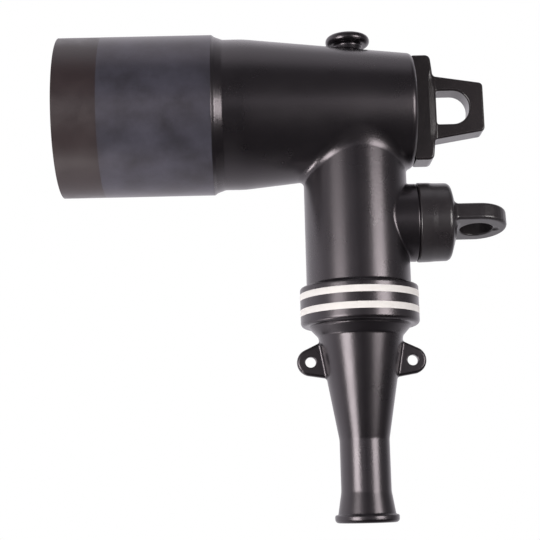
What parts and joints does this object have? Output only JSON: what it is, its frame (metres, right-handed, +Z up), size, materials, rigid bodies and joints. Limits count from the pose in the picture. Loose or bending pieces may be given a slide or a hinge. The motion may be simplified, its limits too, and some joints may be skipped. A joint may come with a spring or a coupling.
{
  "type": "separable elbow connector",
  "caption": "Rubber cable elbow that plugs onto a bushing, with a tapered barrel, a cable leg with white bands, a pulling eye, a top knob and a test point under a pull-off cap.",
  "frame": {"origin": "centre of the cuff's mouth, on the axis of the bushing socket", "axes": "+X along the barrel towards the pulling eye, +Z up towards the knob, so the cable leg points down -Z"},
  "size_m": [0.2417, 0.088, 0.2668],
  "materials": {
    "conductive_rubber": "moulded, semi-gloss black",
    "insulating_rubber": "moulded, matt brown-black",
    "insert_rubber": "moulded, matt black",
    "eye_nylon": "moulded, satin black",
    "cap_rubber": "moulded, satin dark grey",
    "white_band": "moulded, matt ivory white",
    "electrode_brass": "turned",
    "tinned_copper": "tin plated",
    "follower_plastic": "turned, ivory",
    "lug_copper": "drawn copper",
    "lug_aluminium": "drawn"
  },
  "bodies": {
    "elbow": {"shield_jacket": "conductive_rubber", "insulation_body": "insulating_rubber", "conductive_insert": "insert_rubber", "pulling_eye": "eye_nylon", "test_point_electrode": "electrode_brass", "white_band_upper": "white_band", "white_band_lower": "white_band", "contact_probe": "tinned_copper", "arc_follower": "follower_plastic", "lug_palm": "lug_copper", "lug_barrel": "lug_aluminium"},
    "cap": {"test_point_cap": "cap_rubber"}
  },
  "joints": [
    {"name": "cap_pull", "type": "slide", "parent": "elbow", "child": "cap", "axis": [1, 0, 0], "range_m": [0, 0.03]}
  ]
}
